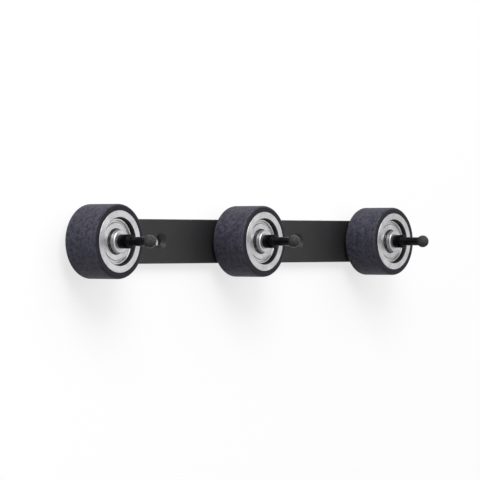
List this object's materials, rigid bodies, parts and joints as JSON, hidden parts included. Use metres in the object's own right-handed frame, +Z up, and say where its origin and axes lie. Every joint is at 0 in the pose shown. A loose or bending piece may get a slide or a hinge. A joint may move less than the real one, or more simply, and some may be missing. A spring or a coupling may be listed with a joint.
{
  "type": "ski wall rack",
  "caption": "Wall rack for skis: a flat rail with rubber-tyred metal rollers on ball bearings. A ski hangs by its sidecut in each gap, and pole straps hang on ball-headed pegs.",
  "frame": {"origin": "centre of the rail's rear face, in the plane of the wall; the middle roller's axis passes through it", "axes": "+X along the rail, to the right for someone who faces the rack; +Y into the wall; +Z up; rollers and pegs stand out along -Y"},
  "size_m": [0.2948, 0.053, 0.0408],
  "materials": {
    "rail": "black powder coat, fine orange peel",
    "stud": "zinc-plated",
    "bush": "turned, zinc-plated",
    "distance_ring": "turned, zinc-plated",
    "spacer": "turned, satin",
    "hub": "turned, satin",
    "outer_race": "ground",
    "inner_race": "ground",
    "ball_cage": "polished balls in a pressed cage",
    "shield": "pressed sheet, satin",
    "tyre": "matt black rubber",
    "peg": "gloss black enamel"
  },
  "bodies": {
    "root": {"rail": "rail", "left_stud": "stud", "left_bush": "bush", "left_distance_ring": "distance_ring", "left_spacer": "spacer", "left_rear_inner_race": "inner_race", "left_front_inner_race": "inner_race", "left_peg": "peg", "middle_stud": "stud", "middle_bush": "bush", "middle_distance_ring": "distance_ring", "middle_spacer": "spacer", "middle_rear_inner_race": "inner_race", "middle_front_inner_race": "inner_race", "middle_peg": "peg", "right_stud": "stud", "right_bush": "bush", "right_distance_ring": "distance_ring", "right_spacer": "spacer", "right_rear_inner_race": "inner_race", "right_front_inner_race": "inner_race", "right_peg": "peg"},
    "left_roller": {"left_tyre": "tyre", "left_hub": "hub", "left_rear_outer_race": "outer_race", "left_front_outer_race": "outer_race", "left_rear_shield": "shield", "left_front_shield": "shield"},
    "middle_roller": {"middle_tyre": "tyre", "middle_hub": "hub", "middle_rear_outer_race": "outer_race", "middle_front_outer_race": "outer_race", "middle_rear_shield": "shield", "middle_front_shield": "shield"},
    "right_roller": {"right_tyre": "tyre", "right_hub": "hub", "right_rear_outer_race": "outer_race", "right_front_outer_race": "outer_race", "right_rear_shield": "shield", "right_front_shield": "shield"},
    "left_balls": {"left_rear_ball_cage": "ball_cage", "left_front_ball_cage": "ball_cage"},
    "middle_balls": {"middle_rear_ball_cage": "ball_cage", "middle_front_ball_cage": "ball_cage"},
    "right_balls": {"right_rear_ball_cage": "ball_cage", "right_front_ball_cage": "ball_cage"}
  },
  "joints": [
    {"name": "left_roller_spin", "type": "hinge", "parent": "root", "child": "left_roller", "pos_m": [-0.127, -0.01725, 0], "axis": [0, 1, 0], "continuous": true},
    {"name": "middle_roller_spin", "type": "hinge", "parent": "root", "child": "middle_roller", "pos_m": [0, -0.01725, 0], "axis": [0, 1, 0], "continuous": true},
    {"name": "right_roller_spin", "type": "hinge", "parent": "root", "child": "right_roller", "pos_m": [0.127, -0.01725, 0], "axis": [0, 1, 0], "continuous": true},
    {"name": "left_balls_spin", "type": "hinge", "parent": "root", "child": "left_balls", "pos_m": [-0.127, -0.01725, 0], "axis": [0, 1, 0], "continuous": true},
    {"name": "middle_balls_spin", "type": "hinge", "parent": "root", "child": "middle_balls", "pos_m": [0, -0.01725, 0], "axis": [0, 1, 0], "continuous": true},
    {"name": "right_balls_spin", "type": "hinge", "parent": "root", "child": "right_balls", "pos_m": [0.127, -0.01725, 0], "axis": [0, 1, 0], "continuous": true}
  ],
  "couplings": [
    {"joint": "left_balls_spin", "follows": "left_roller_spin", "ratio": 0.6333},
    {"joint": "middle_balls_spin", "follows": "middle_roller_spin", "ratio": 0.6333},
    {"joint": "right_balls_spin", "follows": "right_roller_spin", "ratio": 0.6333}
  ]
}
